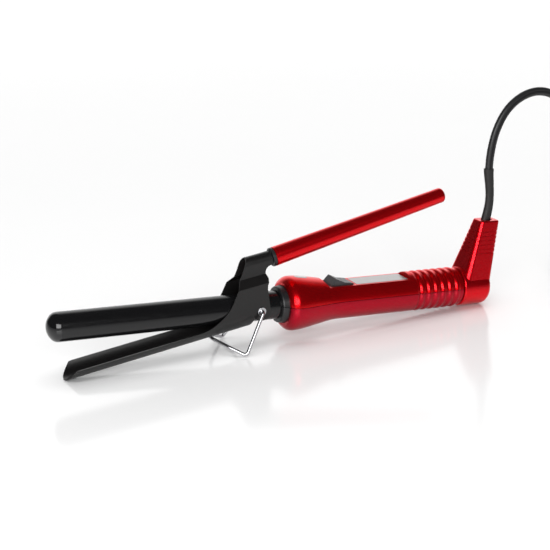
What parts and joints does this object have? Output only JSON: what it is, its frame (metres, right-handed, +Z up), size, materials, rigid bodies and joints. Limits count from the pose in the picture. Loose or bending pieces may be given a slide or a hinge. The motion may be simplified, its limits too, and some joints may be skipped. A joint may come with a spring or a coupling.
{
  "type": "curling iron",
  "caption": "Hand-held styling iron with a hot barrel, a thumb-lever clamp with a turning grip, a folding wire rest, a rocker switch and a swivelling cord outlet.",
  "frame": {"origin": "centre of the iron's footprint on the table, under the middle of the iron without its cord", "axes": "+X from the barrel's tip to the cord outlet, +Z up, +Y the far side when the lever is on top and the tip is on the left"},
  "size_m": [0.5796, 0.0544, 0.1522],
  "materials": {
    "black_barrel": "glossy heat-proof coating",
    "black_tip": "polished moulding",
    "black_clamp": "semi-gloss coating on pressed sheet",
    "chrome_parts": "bright plating",
    "black_bush": "satin moulding",
    "black_collar": "satin heat-proof moulding",
    "red_lacquer": "metallic candy lacquer, glossy",
    "red_lacquer_lower": "metallic candy lacquer, glossy",
    "red_plastic_elbow": "metallic candy lacquer, glossy",
    "dark_lens": "clear dark window",
    "lamp_glass": "clear bulb",
    "silver_label": "satin foil label",
    "switch_plastic": "satin dark grey moulding",
    "steel_rod": "turned",
    "zinc_screws": "zinc plated",
    "raw_aluminium": "extruded",
    "heater_ceramic": "fired ceramic, dull",
    "brass_contacts": "bright sheet",
    "copper_cores": "insulated wire",
    "fuse_metal": "drawn can",
    "lead_insulation": "woven glass sleeve",
    "inner_plastic": "moulded",
    "sleeve_rubber": "matt shrunk sleeve",
    "cord_jacket": "flexible jacket, slight sheen",
    "tie_rubber": "matt strap",
    "plug_plastic": "satin moulding"
  },
  "bodies": {
    "cord_elbow": {"elbow_near_shell": "red_plastic_elbow", "elbow_far_shell": "red_plastic_elbow", "elbow_screws": "zinc_screws", "brush_holder": "inner_plastic", "contact_brushes": "brass_contacts", "cord_clamp": "inner_plastic", "cord_cores": "copper_cores", "strain_relief_sleeve": "sleeve_rubber", "cord_lead": "cord_jacket", "cord_tail": "cord_jacket", "cord_coil": "cord_jacket", "coil_tie": "tie_rubber", "plug_body": "plug_plastic", "plug_blades": "brass_contacts"},
    "handle": {"barrel_tube": "black_barrel", "tip_cap": "black_tip", "heat_spreader_upper": "raw_aluminium", "heat_spreader_lower": "raw_aluminium", "heating_elements": "heater_ceramic", "contact_strips": "brass_contacts", "thermal_fuse": "fuse_metal", "heater_leads": "lead_insulation", "pivot_eyelets": "chrome_parts", "collar_upper": "black_collar", "collar_lower": "black_collar", "handle_upper_shell": "red_lacquer", "handle_lower_shell": "red_lacquer_lower", "handle_screws": "zinc_screws", "indicator_lens": "dark_lens", "indicator_lamp": "lamp_glass", "rating_plate": "silver_label", "switch_body": "switch_plastic", "switch_terminals": "brass_contacts", "supply_leads": "lead_insulation", "swivel_spindle": "inner_plastic", "slip_rings": "brass_contacts"},
    "rocker": {"switch_rocker": "switch_plastic"},
    "clamp": {"clamp_spoon": "black_clamp", "lever_rod": "steel_rod", "grip_front_bush": "black_bush", "rod_washer": "steel_rod"},
    "lever_grip": {"grip_sleeve": "red_lacquer", "grip_bearing_front": "inner_plastic", "grip_bearing_rear": "inner_plastic"},
    "stand": {"wire_stand": "chrome_parts"}
  },
  "joints": [
    {"name": "cord_swivel", "type": "hinge", "parent": "cord_elbow", "child": "handle", "pos_m": [0.13493, 0, 0.01504], "axis": [0.9975, 0, -0.07], "continuous": true},
    {"name": "clamp_pivot", "type": "hinge", "parent": "handle", "child": "clamp", "pos_m": [-0.02467, 0, 0.02624], "axis": [0, -1, 0], "range_deg": [-10.4, 30]},
    {"name": "stand_pivot", "type": "hinge", "parent": "clamp", "child": "stand", "pos_m": [-0.02467, 0, 0.02624], "axis": [0, -1, 0], "range_deg": [0, 68]},
    {"name": "grip_spin", "type": "hinge", "parent": "clamp", "child": "lever_grip", "pos_m": [-0.01293, 0, 0.05842], "axis": [0.9813, 0, 0.1926], "continuous": true},
    {"name": "rocker_tilt", "type": "hinge", "parent": "handle", "child": "rocker", "pos_m": [0.03771, 0, 0.02948], "axis": [0, -1, 0], "range_deg": [0, 25]}
  ]
}
